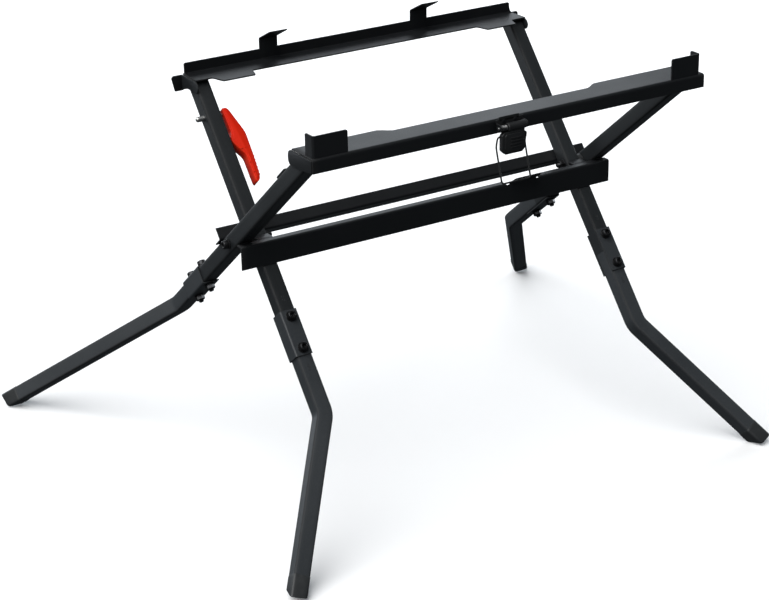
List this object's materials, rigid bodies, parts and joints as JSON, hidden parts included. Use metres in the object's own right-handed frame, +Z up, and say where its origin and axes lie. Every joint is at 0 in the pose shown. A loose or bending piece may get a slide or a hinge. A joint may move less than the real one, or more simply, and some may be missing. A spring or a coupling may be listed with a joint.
{
  "type": "folding tool stand",
  "caption": "Folding scissor stand for a bench saw: crossed square-tube frames with angle rails, bolted splayed legs, a fold lock and a draw latch.",
  "frame": {"origin": "on the floor, at the middle of the box round the four feet", "axes": "+Z up, +X along the rails to the right seen from the front, -Y towards the front (the latch side)"},
  "size_m": [1.0844, 0.8372, 0.6653],
  "materials": {
    "powder_coat": "satin black powder coat",
    "rail_coat": "satin black powder coat",
    "black_plastic": "matt moulded",
    "red_plastic": "satin moulded",
    "zinc_plate": "zinc plated",
    "black_oxide": "black oxide steel",
    "spring_steel": "bright wire",
    "nylon": "moulded"
  },
  "bodies": {
    "inner_frame": {"front_lower_rail": "rail_coat", "inner_bolt_left_lower": "black_oxide", "inner_bolt_left_upper": "black_oxide", "inner_bolt_right_lower": "black_oxide", "inner_bolt_right_upper": "black_oxide", "inner_foot_left": "black_plastic", "inner_foot_right": "black_plastic", "inner_leg_left": "powder_coat", "inner_leg_right": "powder_coat", "inner_nut_left_lower": "black_oxide", "inner_nut_left_upper": "black_oxide", "inner_nut_right_lower": "black_oxide", "inner_nut_right_upper": "black_oxide", "inner_sleeve_left": "powder_coat", "inner_sleeve_right": "powder_coat", "inner_tube_left": "powder_coat", "inner_tube_right": "powder_coat", "lock_lever_lug": "powder_coat", "lock_lever_pin": "zinc_plate", "lock_spring": "spring_steel", "pivot_bolt_left": "black_oxide", "pivot_bolt_right": "black_oxide", "pivot_nut_left": "black_oxide", "pivot_nut_right": "black_oxide", "pivot_spacer_left": "nylon", "pivot_spacer_right": "nylon", "rear_rail_bracket_left": "powder_coat", "rear_rail_bracket_right": "powder_coat", "rear_upper_rail": "rail_coat"},
    "outer_frame": {"outer_bolt_left_lower": "black_oxide", "outer_bolt_left_upper": "black_oxide", "outer_bolt_right_lower": "black_oxide", "outer_bolt_right_upper": "black_oxide", "outer_foot_left": "black_plastic", "outer_foot_right": "black_plastic", "outer_leg_left": "powder_coat", "outer_leg_right": "powder_coat", "outer_nut_left_lower": "black_oxide", "outer_nut_left_upper": "black_oxide", "outer_nut_right_lower": "black_oxide", "outer_nut_right_upper": "black_oxide", "outer_sleeve_left": "powder_coat", "outer_sleeve_right": "powder_coat", "outer_tube_left": "powder_coat", "outer_tube_right": "powder_coat", "front_upper_rail": "rail_coat", "rear_lower_rail": "rail_coat", "front_rail_bracket_left": "powder_coat", "front_rail_bracket_right": "powder_coat", "latch_base": "powder_coat", "latch_hinge_pin": "zinc_plate", "latch_rivet_left": "powder_coat", "latch_rivet_right": "powder_coat", "latch_spring": "spring_steel"},
    "latch_lever": {"latch_lever": "black_plastic"},
    "latch_bail": {"latch_bail": "powder_coat"},
    "lock_lever": {"lock_lever": "red_plastic"},
    "lock_pin": {"lock_pin": "zinc_plate"}
  },
  "joints": [
    {"name": "fold", "type": "hinge", "parent": "inner_frame", "child": "outer_frame", "pos_m": [0, -0.0657, 0.40556], "axis": [-1, 0, 0], "range_deg": [0, 90]},
    {"name": "latch_lever_swing", "type": "hinge", "parent": "outer_frame", "child": "latch_lever", "pos_m": [-0.0185, -0.3413, 0.60286], "axis": [-1, 0, 0], "range_deg": [0, 110]},
    {"name": "latch_bail_swing", "type": "hinge", "parent": "latch_lever", "child": "latch_bail", "pos_m": [-0.0195, -0.3413, 0.59086], "axis": [-1, 0, 0], "range_deg": [-15, 90]},
    {"name": "lock_lever_rock", "type": "hinge", "parent": "inner_frame", "child": "lock_lever", "pos_m": [-0.2665, 0.03393, 0.5243], "axis": [0, 0.766, -0.6428], "range_deg": [0, 8], "stiffness_Nm_per_rad": 2, "springref_deg": -5.73},
    {"name": "lock_pin_slide", "type": "slide", "parent": "inner_frame", "child": "lock_pin", "axis": [1, 0, 0], "range_m": [0, 0.0064]}
  ],
  "couplings": [
    {"joint": "lock_pin_slide", "follows": "lock_lever_rock", "m_per_rad": 0.04485}
  ]
}
